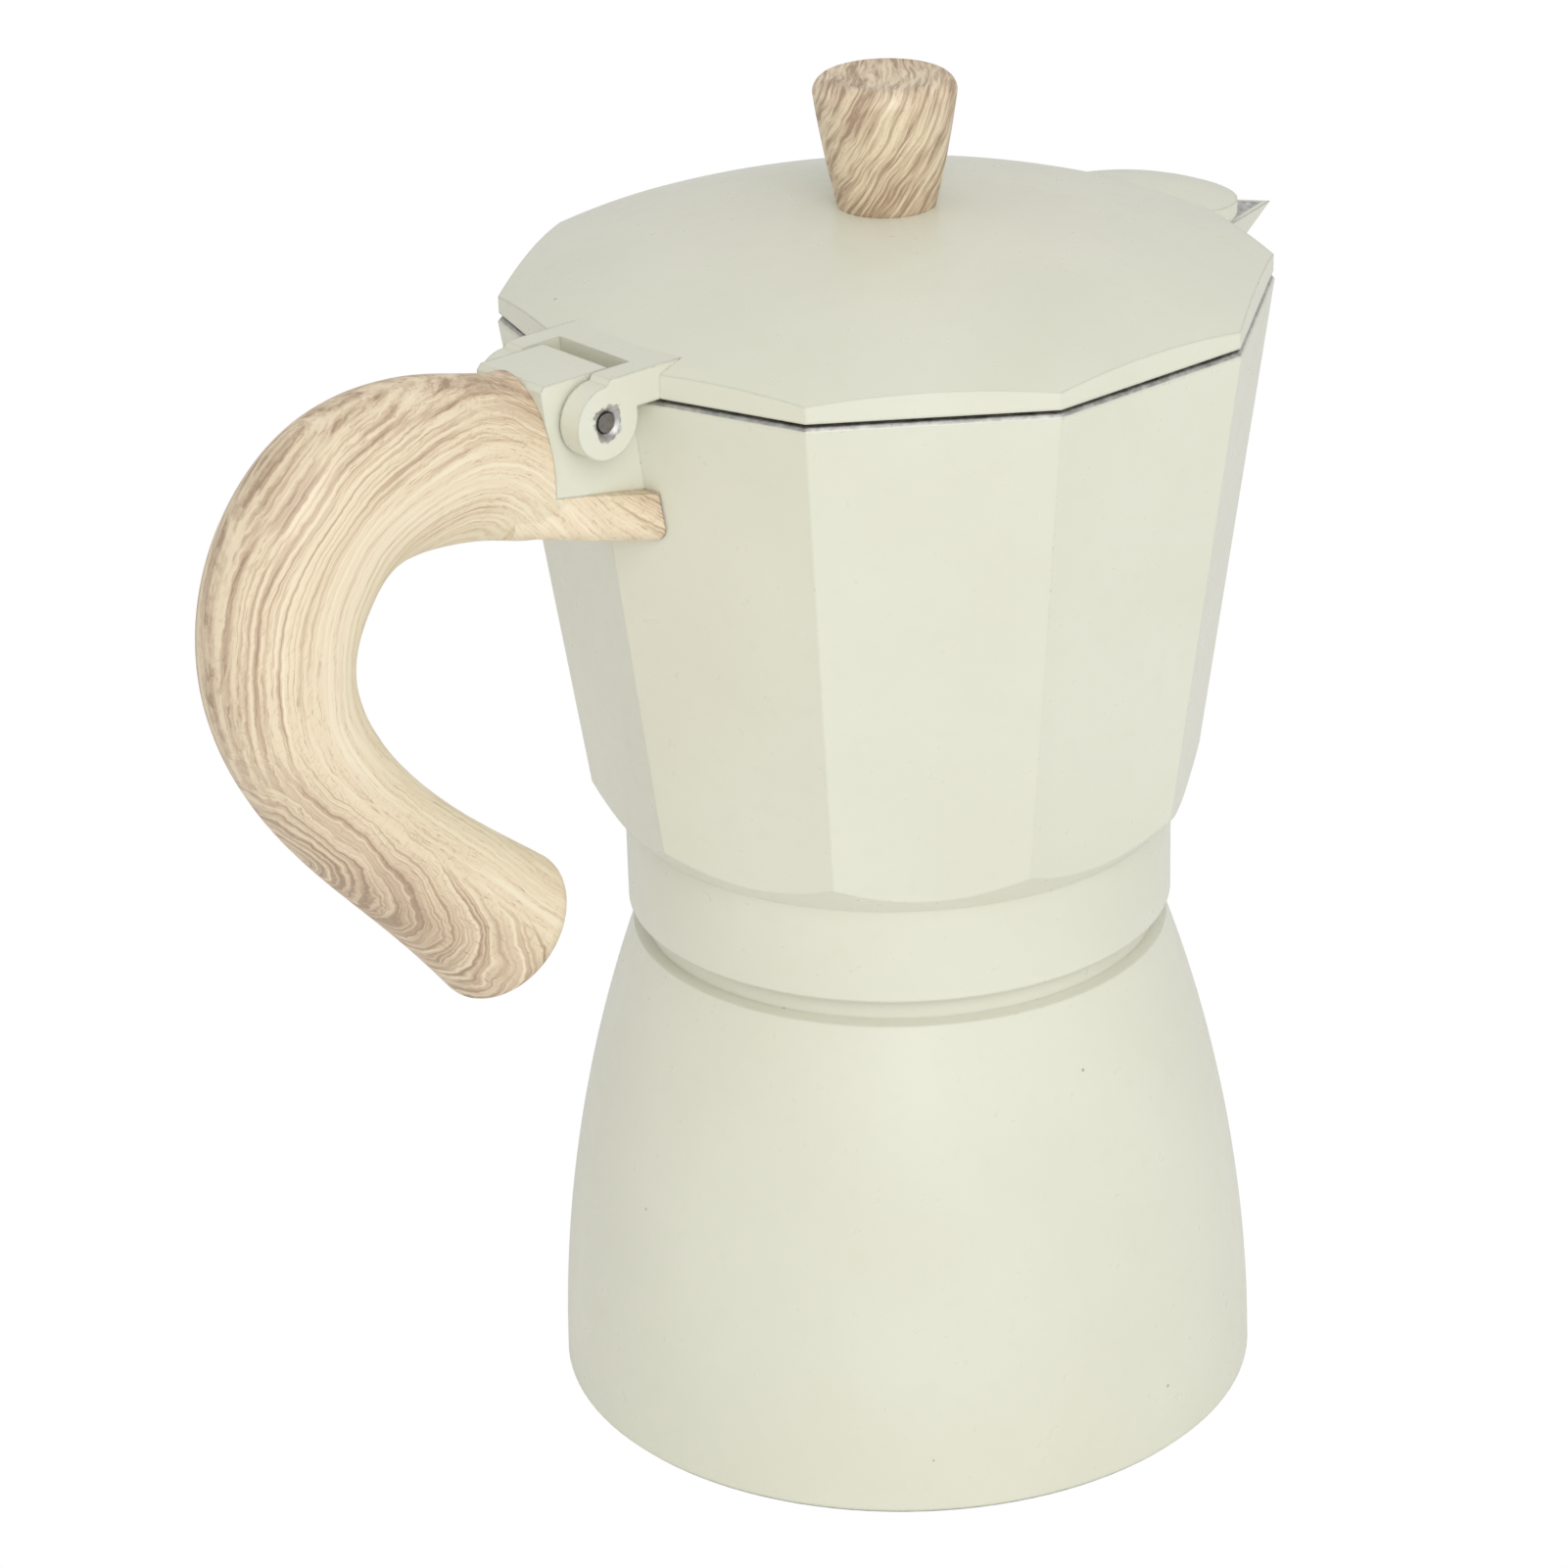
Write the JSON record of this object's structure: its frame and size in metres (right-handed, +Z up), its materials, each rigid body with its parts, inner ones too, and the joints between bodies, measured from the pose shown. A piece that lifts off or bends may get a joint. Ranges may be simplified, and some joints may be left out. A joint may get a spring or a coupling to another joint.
{
  "type": "moka pot",
  "caption": "Stovetop moka pot: bell-shaped boiler, ten-sided upper chamber with V spout, hinged domed lid, wood-look C handle and knob, safety valve, funnel, gasket and filter",
  "frame": {"origin": "centre of the boiler's flat base", "axes": "+Z up along the pot's axis, +X towards the spout, the handle towards -X, the lid's hinge axis along Y"},
  "size_m": [0.1902, 0.1012, 0.1933],
  "materials": {
    "cream_paint": "satin cream paint over cast aluminium",
    "wood_print": "pale wood print on moulded plastic, satin",
    "aluminium": "plain pressed and turned aluminium",
    "screw_steel": "zinc-plated steel",
    "pin_steel": "plain steel, slightly dull",
    "spring_steel": "drawn spring wire",
    "brass": "machined brass",
    "silicone": "soft off-white silicone"
  },
  "bodies": {
    "boiler": {"boiler": "cream_paint", "valve_body": "brass", "valve_washer": "silicone", "valve_spring": "spring_steel", "valve_cap": "brass"},
    "valve_pin": {"valve_pin": "brass"},
    "funnel": {"funnel": "aluminium", "funnel_plate": "aluminium"},
    "collector": {"collector": "cream_paint", "gasket": "silicone", "filter_plate": "aluminium", "column": "aluminium", "column_cap": "aluminium", "handle": "wood_print", "handle_screw": "screw_steel", "handle_washer": "screw_steel", "hinge_pin": "pin_steel"},
    "lid": {"lid": "cream_paint", "knob": "wood_print", "knob_insert": "brass", "knob_screw": "screw_steel", "knob_washer": "screw_steel"}
  },
  "joints": [
    {"name": "thread_rise", "type": "slide", "parent": "boiler", "child": "funnel", "axis": [0, 0, 1], "range_m": [0, 0.0075]},
    {"name": "collector_turn", "type": "hinge", "parent": "funnel", "child": "collector", "pos_m": [0, 0, 0.08], "axis": [0, 0, 1], "range_deg": [0, 900]},
    {"name": "lid_hinge", "type": "hinge", "parent": "collector", "child": "lid", "pos_m": [-0.0583, 0, 0.1618], "axis": [0, -1, 0], "range_deg": [0, 95]},
    {"name": "valve_lift", "type": "slide", "parent": "boiler", "child": "valve_pin", "axis": [0.5878, 0.809, 0], "range_m": [0, 0.0015], "stiffness_N_per_m": 300, "springref_m": -0.003, "deforming": ["valve_spring"]}
  ],
  "couplings": [
    {"joint": "thread_rise", "follows": "collector_turn", "m_per_rad": 0.00047746}
  ]
}
